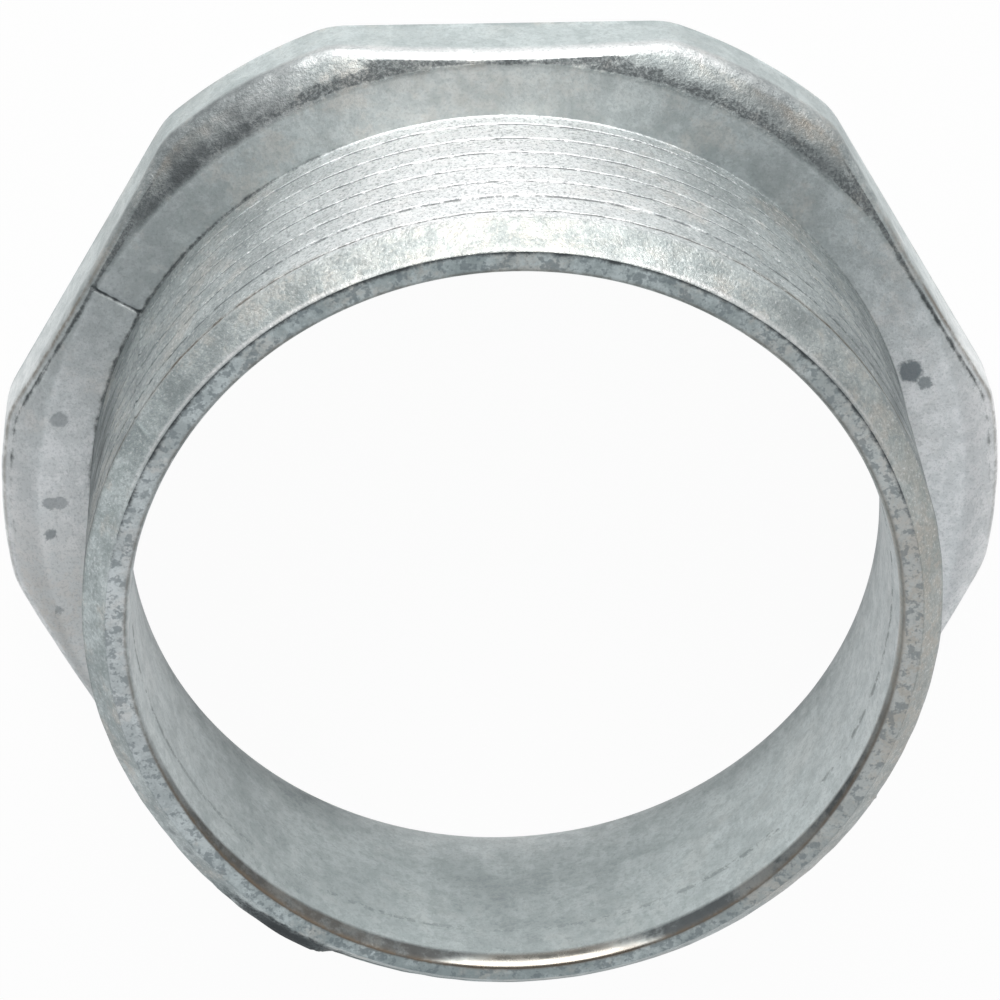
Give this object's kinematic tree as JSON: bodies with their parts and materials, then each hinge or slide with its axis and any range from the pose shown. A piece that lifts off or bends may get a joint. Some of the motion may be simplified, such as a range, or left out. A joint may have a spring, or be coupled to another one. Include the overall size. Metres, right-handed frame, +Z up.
{
  "type": "chase nipple",
  "caption": "Die-cast chase nipple: hexagon head with rounded corners, short barrel with an outside straight thread, smooth flared way through",
  "frame": {"origin": "centre of the head's back face, which it stands on", "axes": "+Z up the axis from the head to the thread end; a flat of the head faces +Y and a turned corner faces +X"},
  "size_m": [0.089, 0.084, 0.033],
  "materials": {
    "zinc": "satin, as cast"
  },
  "bodies": {
    "root": {"chase_nipple": "zinc"}
  },
  "joints": []
}
